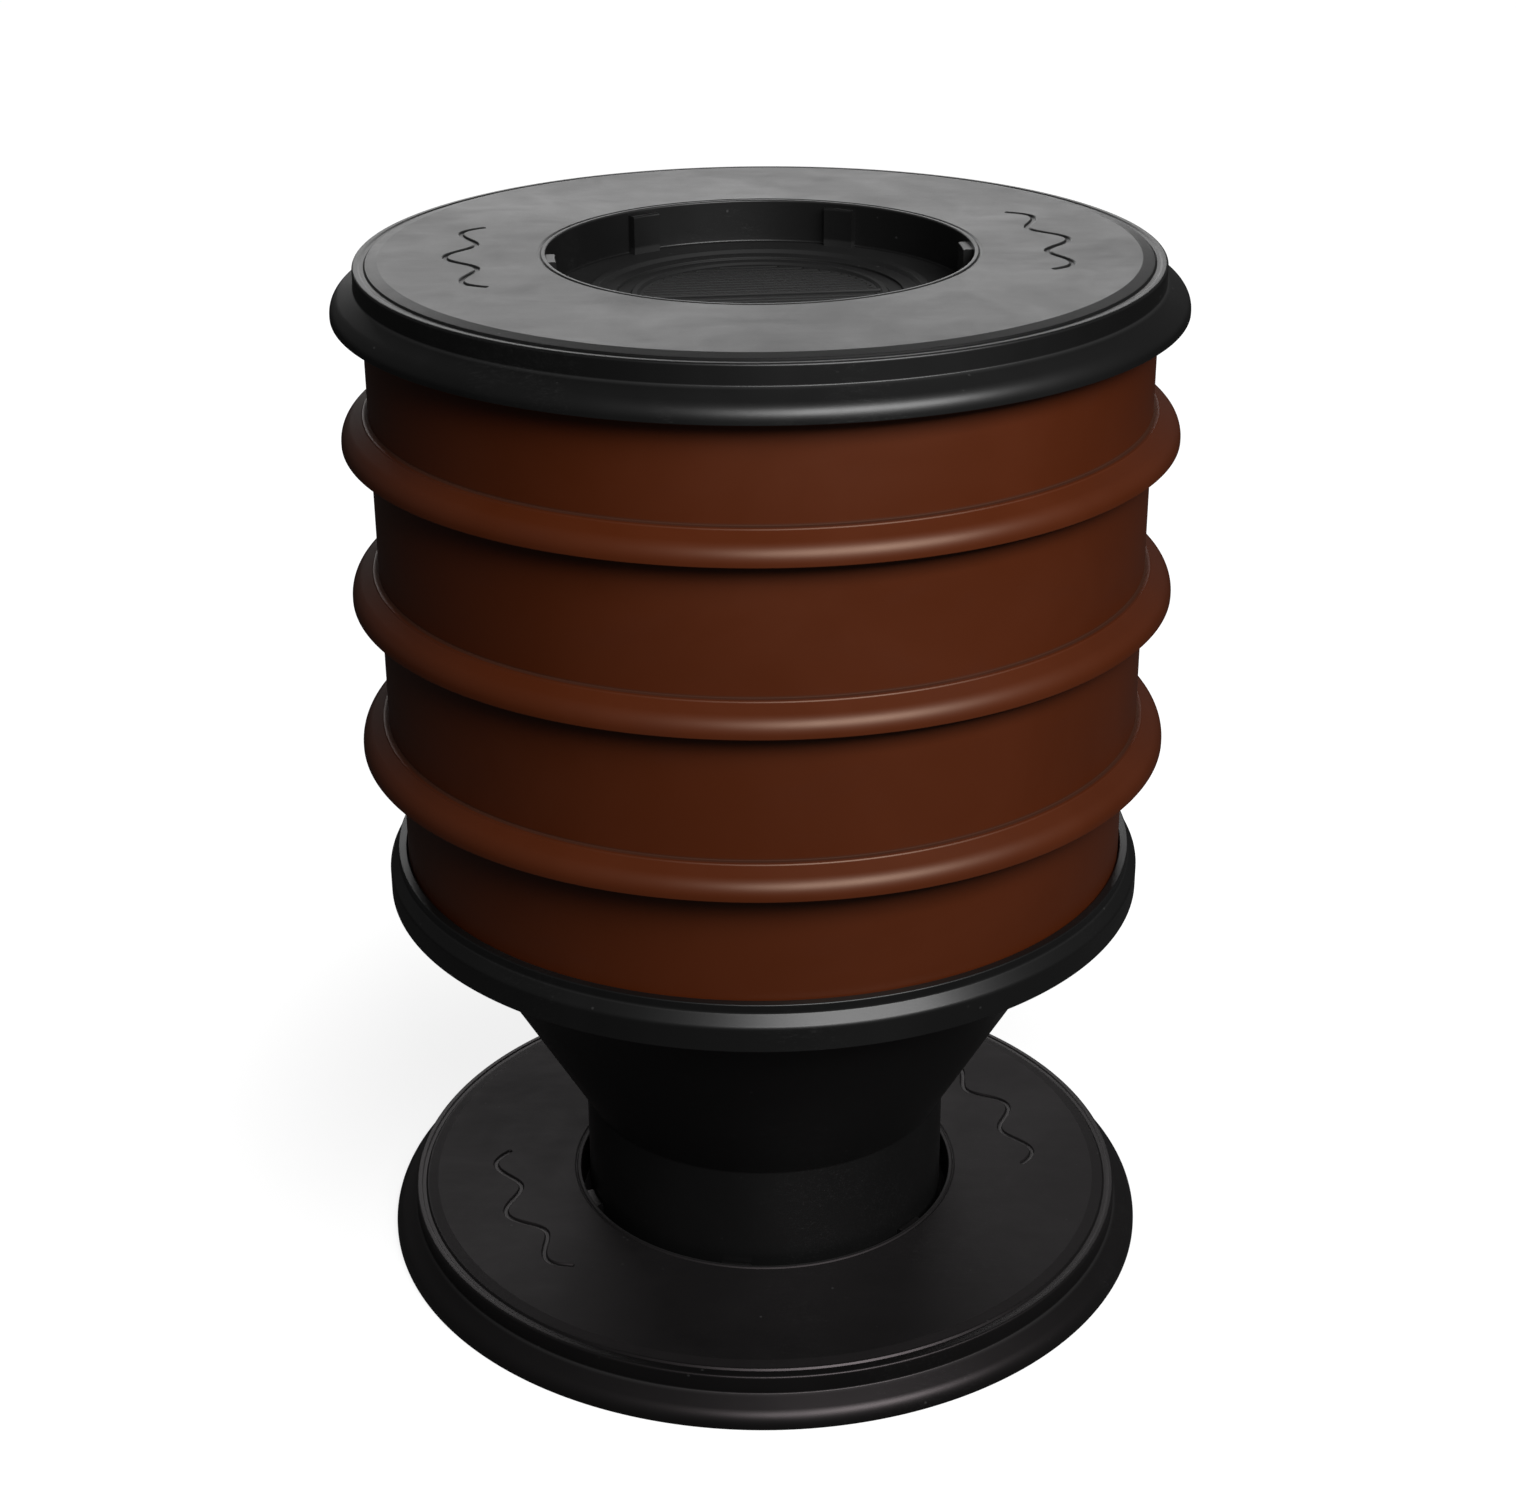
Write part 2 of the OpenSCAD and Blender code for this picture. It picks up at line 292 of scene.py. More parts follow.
def as_object(bm: bmesh.types.BMesh, name: str) -> bpy.types.Object:
    """Makes an object of a mesh and uses the mesh up.

    Args:
        bm: The mesh.
        name: Name of the object.

    Returns:
        The object, linked to the scene.
    """
    bmesh.ops.recalc_face_normals(bm, faces=bm.faces)
    mesh = bpy.data.meshes.new(name)
    bm.to_mesh(mesh)
    bm.free()
    made = bpy.data.objects.new(name, mesh)
    bpy.context.scene.collection.objects.link(made)
    return made


def carve(body: bpy.types.Object, tool: bpy.types.Object, how: Carve) -> None:
    """Joins a solid to a body or cuts it away, keeps the result as the body's mesh and deletes the tool.

    Args:
        body: The object that is changed.
        tool: The object that joins or cuts.
        how: Which of the two it does.
    """
    modifier = body.modifiers.new("carve", "BOOLEAN")
    modifier.operation = how.value
    modifier.solver = "EXACT"
    modifier.object = tool
    bake_modifiers(body)
    spent = tool.data
    bpy.data.objects.remove(tool)
    bpy.data.meshes.remove(spent)


def bake_modifiers(body: bpy.types.Object) -> None:
    """Puts the evaluated mesh in the place of the body's own and clears its modifiers.

    Args:
        body: The object that is changed.
    """
    evaluated = body.evaluated_get(bpy.context.evaluated_depsgraph_get())
    result = bpy.data.meshes.new_from_object(evaluated)
    spent = body.data
    body.modifiers.clear()
    body.data = result
    bpy.data.meshes.remove(spent)


def shade(body: bpy.types.Object) -> None:
    """Smooths a body's faces, keeps its true edges sharp and lets the large faces rule the normals.

    Args:
        body: The object whose mesh is finished.
    """
    bm = bmesh.new()
    bm.from_mesh(body.data)
    merge_points(bm)
    for face in bm.faces:
        face.smooth = True
    for edge in bm.edges:
        edge.smooth = len(edge.link_faces) == 2 and edge.calc_face_angle(0.0) < SHARP_ANGLE
    bm.to_mesh(body.data)
    bm.free()
    weighted = body.modifiers.new("even_shade", "WEIGHTED_NORMAL")
    weighted.mode = "FACE_AREA"
    weighted.keep_sharp = True
    bake_modifiers(body)


def finished(body: bpy.types.Object) -> bpy.types.Mesh:
    """Shades a moulding and keeps its mesh alone.

    Args:
        body: The object, which is used up.

    Returns:
        The finished mesh.
    """
    shade(body)
    mesh = body.data
    bpy.data.objects.remove(body)
    return mesh


def placed_copy(mesh: bpy.types.Mesh, name: str, place: Matrix) -> bpy.types.Object:
    """Copies a finished moulding to its place, with the place in its mesh.

    Args:
        mesh: The moulding, in its own frame.
        name: Name of the piece.
        place: Where it stands and how it is turned.

    Returns:
        The piece, with its object at the origin.
    """
    copy = mesh.copy()
    copy.name = name
    copy.transform(place)
    piece = bpy.data.objects.new(name, copy)
    bpy.context.scene.collection.objects.link(piece)
    return piece


# Shader maths

Number = Union[float, int]
# What a noise field is on average
MEAN = 0.5
# Numbers of the sockets that are used on the Mix and Map Range nodes
MIX_SHARE, MIX_FIRST, MIX_SECOND, MIX_RESULT = 0, 6, 7, 2
MAP_VALUE, MAP_FROM, MAP_TO, MAP_START, MAP_END = range(5)


class Field:
    """A shader socket on which Python's operators work, each adding its node."""

    def __init__(self, graph: "Graph", socket: bpy.types.NodeSocket) -> None:
        """Wraps a socket.

        Args:
            graph: The material's graph.
            socket: The output socket that carries the value.
        """
        self.graph = graph
        self.socket = socket

    def _math(self, operation: str, *values: Union["Field", Number], clamp: bool = False) -> "Field":
        """Adds one Math node of an operation on values and returns its result."""
        return self.graph.node("ShaderNodeMath", {"operation": operation, "use_clamp": clamp},
                               dict(enumerate(values)))[0]

    def __add__(self, other: Union["Field", Number]) -> "Field":
        """This plus other."""
        return self._math("ADD", self, other)

    __radd__ = __add__

    def __sub__(self, other: Union["Field", Number]) -> "Field":
        """This minus other."""
        return self._math("SUBTRACT", self, other)

    def __rsub__(self, other: Number) -> "Field":
        """Other minus this."""
        return self._math("SUBTRACT", other, self)

    def __mul__(self, other: Union["Field", Number]) -> "Field":
        """This times other."""
        return self._math("MULTIPLY", self, other)

    __rmul__ = __mul__

    def __truediv__(self, other: Union["Field", Number]) -> "Field":
        """This divided by other."""
        return self._math("DIVIDE", self, other)

    def root(self) -> "Field":
        """The square root."""
        return self._math("SQRT", self)

    def clamped(self) -> "Field":
        """Held between 0 and 1."""
        return self._math("ADD", self, 0.0, clamp=True)

    def most(self, other: Union["Field", Number]) -> "Field":
        """The larger of the two."""
        return self._math("MAXIMUM", self, other)

    def step(self, low: float, high: float) -> "Field":
        """A smooth step from 0 at low to 1 at high, or down where high is the lower.

        Args:
            low: The value at which the step is 0.
            high: The value at which it is 1.

        Returns:
            The step.
        """
        values = {MAP_VALUE: self, MAP_FROM: min(low, high), MAP_TO: max(low, high),
                  MAP_START: 0.0, MAP_END: 1.0}
        if low > high:
            values.update({MAP_START: 1.0, MAP_END: 0.0})
        return self.graph.node("ShaderNodeMapRange", {"interpolation_type": "SMOOTHSTEP"}, values)[0]

    def band(self, middle: float, half: float) -> "Field":
        """A smooth band that is 1 at middle and 0 from half away on."""
        return self.step(middle - half, middle) * self.step(middle + half, middle)


class Made:
    """A node that was added, whose outputs are read as fields by number or name."""

    def __init__(self, graph: "Graph", node: bpy.types.Node) -> None:
        """Keeps the node and its graph."""
        self.graph = graph
        self.node = node

    def __getitem__(self, key: Union[int, str]) -> Field:
        """The output of that number or name."""
        return Field(self.graph, self.node.outputs[key])


class Graph:
    """The node tree of one material or of the world."""

    def __init__(self, owner: Union[bpy.types.Material, bpy.types.World]) -> None:
        """Clears the owner's nodes.

        Args:
            owner: The material or world that the nodes belong to.
        """
        owner.use_nodes = True
        self.tree = owner.node_tree
        self.tree.nodes.clear()

    def node(self, kind: str, settings: dict[str, object] | None = None,
             values: dict[Union[int, str], object] | None = None) -> Made:
        """Adds one node.

        Args:
            kind: The node's type.
            settings: Its settings, which are set first.
            values: The values of its sockets or the fields that are linked to them.

        Returns:
            The node.
        """
        node = self.tree.nodes.new(kind)
        for key, value in (settings or {}).items():
            setattr(node, key, value)
        for key, value in (values or {}).items():
            if isinstance(value, Field):
                self.tree.links.new(value.socket, node.inputs[key])
            else:
                node.inputs[key].default_value = value
        return Made(self, node)

    def mixed(self, share: Union[Field, float], first: object, second: object) -> Field:
        """Mixes two colours.

        Args:
            share: How much of the second colour there is.
            first: A colour or a colour field.
            second: Another.

        Returns:
            The mixed colour.
        """
        values = {MIX_SHARE: share, MIX_FIRST: first, MIX_SECOND: second}
        return self.node("ShaderNodeMix", {"data_type": "RGBA"}, values)[MIX_RESULT]

    def noise(self, where: Field, scale: float, detail: float = 3.0, rough: float = 0.55,
              warp: float = 0.0) -> Field:
        """Soft random patches.

        Args:
            where: The coordinates.
            scale: Patches to the metre.
            detail: Number of finer layers.
            rough: Strength of those layers.
            warp: How far the patches are bent.

        Returns:
            A field round its mean.
        """
        values = {"Vector": where, "Scale": scale, "Detail": detail, "Roughness": rough, "Distortion": warp}
        return self.node("ShaderNodeTexNoise", {}, values)["Fac"]

    def stretched(self, where: Field, scale: Sequence[float]) -> Field:
        """Coordinates that are scaled differently along each axis."""
        return self.node("ShaderNodeMapping", {}, {"Vector": where, "Scale": scale})[0]


@dataclass(frozen=True)
class Place:
    """Object coordinates of a point on a moulding, as the finishes use them."""

    where: Field
    radius: Field
    height: Field


def from_axis(split: Made) -> Field:
    """How far split coordinates lie from the upright axis."""
    return (split[0] * split[0] + split[1] * split[1]).root()


def place_on(graph: Graph, base_z: float) -> Place:
    """Reads a moulding's coordinates.

    Args:
        graph: The material's graph.
        base_z: Height in metres from which heights on the moulding are counted.

    Returns:
        The coordinates in metres, with radius and height in millimetres.
    """
    where = graph.node("ShaderNodeTexCoord")["Object"]
    split = graph.node("ShaderNodeSeparateXYZ", {}, {0: where})
    return Place(where, from_axis(split) / MM, (split[2] - base_z) / MM)


# Finishes

Colour = tuple[float, float, float, float]
Triple = tuple[float, float, float]
Pair = tuple[float, float]


def grey(level: float) -> Colour:
    """A plain grey of that level."""
    return (level, level, level, 1.0)


@dataclass(frozen=True)
class Plastic:
    """A moulded plastic: its colours, its sheen and the fine grain of the mould."""

    name: str
    colour: Colour
    deep_colour: Colour
    roughness: float
    grain: float
    slot: str
    gleam: Colour = grey(1.0)
    gloss: float = 0.5

    def material(self, name: str, base_z: float, dress: Callable[["Coat"], None]) -> bpy.types.Material:
        """Makes the material of one moulding.

        Args:
            name: Name of the material.
            base_z: Height in metres from which heights on the moulding are counted.
            dress: Adds what is particular to the moulding to the coat.

        Returns:
            The material.
        """
        material = bpy.data.materials.new(name)
        graph = Graph(material)
        coat = Coat(graph, place_on(graph, base_z), self)
        dress(coat)
        coat.close()
        return material


class Coat:
    """The surface of one moulding while it is put together: colour, roughness and relief."""

    CLOUD_SPAN = (0.3, 0.7)
    CLOUD_SHEEN = 0.16

    def __init__(self, graph: Graph, place: Place, plastic: Plastic) -> None:
        """Starts with the bare plastic.

        Args:
            graph: The material's graph.
            place: Coordinates on the moulding.
            plastic: The plastic that it is moulded from.
        """
        self.graph = graph
        self.place = place
        self.plastic = plastic
        cloud = graph.noise(place.where, scale=7.0, detail=4.0, warp=0.6)
        self.colour = graph.mixed(cloud.step(*self.CLOUD_SPAN), plastic.deep_colour, plastic.colour)
        self.rough = (cloud - MEAN) * self.CLOUD_SHEEN + plastic.roughness
        fine = graph.noise(place.where, scale=1500.0, detail=2.0, rough=0.6)
        self.relief = fine * plastic.grain

    def paint(self, share: Field, colour: Colour) -> None:
        """Lays a colour over the coat by a share."""
        self.colour = self.graph.mixed(share, self.colour, colour)

    def close(self) -> None:
        """Ties the coat to the shader and the material's output."""
        bump = self.graph.node("ShaderNodeBump", {}, {"Strength": 1.0, "Distance": MM, "Height": self.relief})
        values = {"Base Color": self.colour, "Roughness": self.rough.clamped(), "Normal": bump[0],
                  "Specular Tint": self.plastic.gleam, "Specular IOR Level": self.plastic.gloss}
        shader = self.graph.node("ShaderNodeBsdfPrincipled", {}, values)
        self.graph.node("ShaderNodeOutputMaterial", {}, {0: shader[0]})


BLACK = Plastic(name="black", slot="black_plastic", colour=grey(0.0056), deep_colour=grey(0.0042),
                roughness=0.39, grain=0.030)
DULL = Plastic(name="dull", slot="black_plastic", colour=grey(0.0050), deep_colour=grey(0.0038),
               roughness=0.42, grain=0.030, gleam=(1.0, 0.88, 0.91, 1.0), gloss=0.42)
BROWN = Plastic(name="brown", slot="brown_plastic", colour=(0.074, 0.0144, 0.0034, 1.0),
                deep_colour=(0.066, 0.0122, 0.0023, 1.0), roughness=0.44, grain=0.014,
                gleam=(1.0, 0.74, 0.58, 1.0))
# Painted sheen: a grey laid on the lid's face to stand for the light it takes from above
PAINTED_SHEEN = grey(0.018)
# Pale grey of dust, scratches and rubbed edges, also used as a painted highlight along beads
DUST_AND_HIGHLIGHT = grey(0.16)
# Pale brown of rubbed crests, also used as a painted highlight along them
PALE_BROWN = (0.30, 0.16, 0.11, 1.0)
WARM_BROWN = (0.060, 0.0125, 0.0052, 1.0)
# Painted shade: a dark brown laid in the tray's crease, where the foot of the wall lies in shadow
CREASE_SHADE = (0.012, 0.0028, 0.0012, 1.0)


@dataclass(frozen=True)
class Scuffs:
    """Short faint scratches and a few specks of dust."""

    strength: float
    stretch: Triple = (9.0, 70.0, 40.0)
    line: float = 0.52
    line_half: float = 0.006
    line_places: Pair = (0.52, 0.66)
    line_share: float = 0.30
    line_rough: float = 0.2
    dot_scale: float = 95.0
    dot_edge: Pair = (0.10, 0.05)
    dot_places: Pair = (0.55, 0.68)
    dot_share: float = 0.35

    def lay(self, coat: Coat) -> None:
        """Lays the scratches and specks over a coat.

        Args:
            coat: The coat that they go on.
        """
        graph, where = coat.graph, coat.place.where
        bent = graph.noise(graph.stretched(where, self.stretch), scale=6.0, rough=0.6, warp=1.2)
        places = graph.noise(where, scale=11.0, detail=2.0).step(*self.line_places)
        scratch = bent.band(self.line, self.line_half) * places
        cells = graph.node("ShaderNodeTexVoronoi", {}, {"Vector": where, "Scale": self.dot_scale})
        sparse = graph.noise(where, scale=37.0, detail=1.0).step(*self.dot_places)
        dots = cells["Distance"].step(*self.dot_edge) * sparse
        coat.paint(scratch * (self.line_share * self.strength), DUST_AND_HIGHLIGHT)
        coat.paint(dots * (self.dot_share * self.strength), DUST_AND_HIGHLIGHT)
        coat.rough = coat.rough + scratch * (self.line_rough * self.strength)


# Mouldings


@dataclass(frozen=True)
class Fits:
    """Radii and thicknesses that the mouldings share."""

    wall: float = 3.0
    tray_r: float = 232.0
    nest_gap: float = 3.4
    seat_margin: float = 0.5
    neck_r: float = 118.5
    neck_foot_w: float = 8.0
    overrun: float = 3.0
    skirt_round: float = 11.0
    shoulder_z: float = 1.7

    @property
    def nest_r(self) -> float:
        """Outer radius of the wall that nests in the tray below."""
        return self.tray_r - self.wall - self.nest_gap


@dataclass(frozen=True)
class Skirt:
    """The flared skirt that trays and covers share: a flank that runs onto a round shoulder."""

    bead: Vector
    centre: Vector
    round: float
    edge_r: float

    EDGE_ROUND = 0.5
    INNER_STEPS = 8
    LEVEL, UPRIGHT = 0.0, 90.0

    @property
    def slope(self) -> float:
        """Slope of the flank below level, in degrees."""
        way = self.centre - self.bead
        return math.degrees(math.atan2(-way.y, way.x) - math.asin(self.round / way.length))

    def _foot(self, inset: float) -> Vector:
        """Where the flank that lies inset below the outer one runs onto its shoulder."""
        a = math.radians(self.slope)
        return self.centre + (self.round - inset) * Vector((math.sin(a), math.cos(a)))

    def height_at(self, r: float, inset: float) -> float:
        """Height at a radius of the flank that lies inset below the outer one."""
        foot = self._foot(inset)
        return foot.y + (foot.x - r) * math.tan(math.radians(self.slope))

    def radius_at(self, z: float, inset: float) -> float:
        """Radius at a height of the flank that lies inset below the outer one."""
        foot = self._foot(inset)
        return foot.x - (z - foot.y) / math.tan(math.radians(self.slope))

    def draw(self, section: Section, wall: float, low_z: float) -> None:
        """Draws the skirt's inside down to its edge and its outside up to the flank.

        Args:
            section: The section that it belongs to.
            wall: Thickness of the skirt.
            low_z: Height of its lower edge.
        """
        top = self.UPRIGHT - self.slope
        section.arc(self.centre, self.round - wall, top, self.LEVEL, self.INNER_STEPS)
        section.to(self.edge_r - wall, low_z, self.EDGE_ROUND).to(self.edge_r, low_z, self.EDGE_ROUND)
        section.arc(self.centre, self.round, self.LEVEL, top)


@dataclass(frozen=True)
class CoverWearAndPaintedLight:
    """Painted sheen, painted bead highlight and wear of a cover: reaches in millimetres, and the rest as
    shares and roughness.
    """

    # Where the painted sheen lies on the face, its blotches and streaks, and its strength
    face_depth: Pair = (1.15, 0.25)
    recess_reach: Pair = (-0.5, 1.2)
    edge_reach: float = 1.4
    streak_stretch: Triple = (8.0, 30.0, 30.0)
    blotch_share: float = 0.6
    streak_share: float = 0.3
    whole_share: float = 0.86
    patch_rough: float = 0.24
    fresh_rough: float = 0.18
    vent_height: Pair = (5.0, 3.0)
    vent_reach: float = 3.0
    vent_rough: float = 0.27
    # Pale band along the bead: rubbed wear and a painted highlight. The recess lip is only rubbed.
    bead_up: float = 0.5
    bead_half: float = 1.1
    bead_reach: float = 1.0
    lip_depth: Pair = (1.4, 0.4)
    lip_out: float = 0.6
    lip_half: float = 1.4
    dust_and_highlight_share: float = 0.07
    scuffs_share: float = 0.5


@dataclass
class Cover:
    """The moulding that serves both as the lid and as the foot plate."""

    fits: Fits
    skirt_r: float
    height: float = 30.0
    plate: float = 3.0
    rim_gap: float = 0.6
    bead_z: float = 15.6
    bead_out: float = 1.2
    rim_bead_w: float = 3.4
    cove: float = 1.0
    rim_round: float = 1.4
    rim_groove_w: float = 4.2
    rim_sink: float = 1.9
    rim_groove_sink: float = 1.1
    face_fall: float = 1.4
    face_fall_w: float = 7.0
    rib_count: int = 12
    rib_h: float = 14.0
    pad_count: int = 6
    pad_w: float = 19.0
    pad_t: float = 5.7
    pad_gap: float = 0.4
    pad_drop: float = 2.5
    floor: float = 4.0
    lip_w: float = 3.2
    lip_line: float = 0.9
    vent_margin: float = 34.0
    vent_sink: float = 1.6
    vent_border: float = 14.0
    vent_pitch: float = 5.9
    slot_w: float = 3.0
    bar_w: float = 9.0
    ridge_w: float = 3.0
    ridge_h: float = 1.5
    ring_w: float = 4.5
    ring_h: float = 2.4
    # Wavy grooves: their valley, their wave and the round ends
    groove_w: float = 3.0
    groove_depth: float = 1.2
    groove_lip: float = 0.45
    groove_swing: float = 8.0
    groove_waves: float = 2.5
    groove_span: float = 48.0
    groove_steps: int = 72
    groove_clear: float = 2.0
    groove_start: float = 0.03
    groove_dip: float = 0.06
    groove_edge: float = 0.35
    groove_belly_shares: Pair = (0.72, 0.85)
    groove_aim_share: float = 0.002
    taper_steps: int = 5
    taper_turn: int = 16
    # Roundings of the edges
    inner_round: float = 1.0
    seat_round: float = 0.4
    rim_in_round: float = 1.2
    rim_groove_round: float = 0.5
    face_edge_round: float = 0.4
    fall_round: float = 3.0
    lip_round: float = 0.5
    lip_foot_round: float = 0.3
    lip_out_share: float = 1.4
    mouth_round: float = 1.0
    recess_foot_round: float = 1.2
    ring_round: float = 1.0
    panel_round: float = 0.4
    panel_foot_round: float = 0.3
    ridge_round: float = 0.5
    pad_round: float = 1.2
    pad_bury: float = 1.5
    pad_steps: int = 10
    rib_round: float = 0.4
    bar_round: float = 0.6
    bar_h_share: float = 0.8
    slot_end_share: float = 0.49
    slot_end_steps: int = 4
    # Painted sheen, painted bead highlight and wear of the face
    wear: CoverWearAndPaintedLight = CoverWearAndPaintedLight()

    @property
    def recess_r(self) -> float:
        """Radius of the recess wall."""
        return self.fits.neck_r + self.pad_gap + self.pad_t

    @property
    def rim_r(self) -> float:
        """Outer radius of the rim."""
        return self.fits.tray_r + self.rim_gap + self.fits.wall

    @property
    def panel_r(self) -> float:
        """Radius of the sunk vent panel."""
        return self.fits.neck_r - self.vent_margin

    @property
    def slots_r(self) -> float:
        """Radius of the round of slots."""
        return self.panel_r - self.vent_border

    @property
    def fall_r(self) -> float:
        """Radius at which the face starts to fall towards the rim."""
        return self.rim_r - self.rim_bead_w - self.rim_groove_w - self.face_fall_w

    def section(self) -> Section:
        """Draws the half section, from under the recess round to the top of the vent panel.

        Returns:
            The closed section.
        """
        wall, top = self.fits.wall, self.height
        under = top - self.plate
        out_r = self.recess_r + wall
        rim_in = self.rim_r - wall
        bead = Vector((self.rim_r + self.bead_out, self.bead_z))
        centre = Vector((self.skirt_r - self.fits.skirt_round, self.fits.shoulder_z))
        skirt = Skirt(bead, centre, self.fits.skirt_round, self.skirt_r)
        section = Section()
        section.to(0, 0).to(out_r, 0, self.inner_round).to(out_r, under, self.inner_round)
        section.to(rim_in, under, self.seat_round)
        section.to(rim_in, skirt.height_at(rim_in, wall), self.inner_round)
        skirt.draw(section, wall, 0.0)
        section.to(self.rim_r, skirt.height_at(self.rim_r, 0.0), self.cove)
        section.to(self.rim_r, top - self.rim_sink, self.rim_round)
        self._draw_face(section)
        self._draw_recess(section)
        return section

    def _draw_face(self, section: Section) -> None:
        """Draws the face from the bead round its edge to the recess.

        Args:
            section: The section that it belongs to.
        """
        top = self.height
        bead_in = self.rim_r - self.rim_bead_w
        low = top - self.face_fall
        groove_in = self.fall_r + self.face_fall_w
        bank, groove_z = self.rim_groove_w / 4, low - self.rim_groove_sink
        section.to(bead_in, top - self.rim_sink, self.rim_in_round)
        section.to(bead_in - bank, groove_z, self.rim_groove_round)
        section.to(groove_in + bank, groove_z, self.rim_groove_round)
        section.to(groove_in, low, self.face_edge_round).to(self.fall_r, top, self.fall_round)
        lip, line = self.recess_r + self.lip_w, self.lip_line
        section.to(lip + self.lip_out_share * line, top, self.lip_round)
        section.to(lip, top - line, self.lip_foot_round)
        section.to(lip - line, top, self.lip_round).to(self.recess_r, top, self.mouth_round)

    def _draw_recess(self, section: Section) -> None:
        """Draws the recess wall and floor, with its ring and ridge, in to the axis.

        Args:
            section: The section that it belongs to.
        """
        floor, panel = self.floor, self.floor - self.vent_sink
        section.to(self.recess_r, floor, self.recess_foot_round)
        ring = (self.panel_r + self.fits.neck_r - self.fits.neck_foot_w) / 2
        self._draw_ridge(section, ring, self.ring_w, floor, self.ring_h, self.ring_round)
        section.to(self.panel_r, floor, self.panel_round).to(self.panel_r, panel, self.panel_foot_round)
        ridge = self.slots_r + self.ridge_w
        self._draw_ridge(section, ridge, self.ridge_w, panel, self.ridge_h, self.ridge_round)
        section.to(0, panel)

    @staticmethod
    def _draw_ridge(section: Section, middle: float, half: float, low: float, rise: float,
                    rounding: float) -> None:
        """Draws a round ridge from its outer foot to its inner one.

        Args:
            section: The section that it belongs to.
            middle: Radius of its crest.
            half: Half its width at the foot, which is its width at the crest.
            low: Height of its foot.
            rise: Height of its crest above the foot.
            rounding: Radius of its roundings.
        """
        for reach, up in ((half, 0.0), (half / 2, rise), (-half / 2, rise), (-half, 0.0)):
            section.to(middle + reach, low + up, rounding)

    def pads(self) -> bmesh.types.BMesh:
        """Makes the centring pads that stand round the recess.

        Returns:
            One mesh of all the pads.
        """
        low, high = self.floor / 2, self.height - self.pad_drop
        inner = self.recess_r - self.pad_t
        angle = self.pad_w / (self.recess_r - self.pad_t / 2)
        parts = []
        for i in range(self.pad_count):
            section = Section().to(inner, low).to(self.recess_r + self.pad_bury, low)
            section.to(self.recess_r + self.pad_bury, high).to(inner, high, self.pad_round)
            bm = turned(section, angle, self.pad_steps)
            turn = math.tau / self.pad_count * i - angle / 2
            parts.append((bm, Matrix.Rotation(turn, 4, "Z")))
        return gathered(parts)

    def ribs(self) -> bmesh.types.BMesh:
        """Makes the stiffening ribs under the face and the straight rib across the vent.

        Returns:
            One mesh of all the ribs.
        """
        wall = self.fits.wall
        under = self.height - self.plate
        low = (self.recess_r + wall / 2, -wall / 2, under - self.rib_h)
        high = (self.fits.nest_r, wall / 2, under + self.plate / 4)
        parts = []
        for i in range(self.rib_count):
            turn = math.tau / self.rib_count * (i + 1 / 2)
            parts.append((block(low, high, self.rib_round), Matrix.Rotation(turn, 4, "Z")))
        reach, w = self.slots_r + self.ridge_w, self.ridge_w
        panel = self.floor - self.vent_sink
        crest = panel + self.ridge_h * self.bar_h_share
        bar = block((-reach, -w / 2, panel / 2), (reach, w / 2, crest), self.bar_round)
        parts.append((bar, Matrix.Identity(4)))
        return gathered(parts)

    def slots(self) -> bmesh.types.BMesh:
        """Makes the cutters of the vent slots, with round ends.

        Returns:
            One mesh of all the cutters.
        """
        first = (self.bar_w + self.slot_w) / 2
        reach_r = self.slots_r - self.ridge_w / 2
        count = math.floor((self.slots_r - self.ridge_w - first) / self.vent_pitch)
        parts = []
        for i in range(count + 1):
            y = first + i * self.vent_pitch
            half = math.sqrt(reach_r ** 2 - (y + self.slot_w / 2) ** 2)
            for side in (-1, 1):
                low = (-half, side * y - self.slot_w / 2, -self.fits.overrun)
                high = (half, side * y + self.slot_w / 2, self.floor + self.fits.overrun)
                slot = block(low, high, self.slot_w * self.slot_end_share, self.slot_end_steps, True)
                parts.append((slot, Matrix.Identity(4)))
        return gathered(parts)

    def _wave_point(self, share: float) -> Vector:
        """Point on the centre line of a wavy groove.

        Args:
            share: Share of the groove's length, from 0 to 1.

        Returns:
            The point, in millimetres.
        """
        mid_r = (self.recess_r + self.lip_w + self.fall_r) / 2
        r = mid_r + self.groove_swing * math.sin(math.tau * self.groove_waves * share)
        a = math.radians(self.groove_span * (share - 1 / 2))
        return Vector((r * math.cos(a), r * math.sin(a), self.height))

    def wave_place(self, share: float) -> Matrix:
        """Where the cross-section of a wavy groove stands at a share of its length.

        Args:
            share: Share of the groove's length, from 0 to 1.

        Returns:
            A frame whose X runs along the groove and Y across it, in millimetres.
        """
        step = self.groove_aim_share
        ahead = (self._wave_point(share + step) - self._wave_point(share - step)).normalized()
        across = Vector((-ahead.y, ahead.x, 0.0))
        frame = Matrix((ahead, across, Vector((0, 0, 1)))).transposed().to_4x4()
        return Matrix.Translation(self._wave_point(share)) @ frame

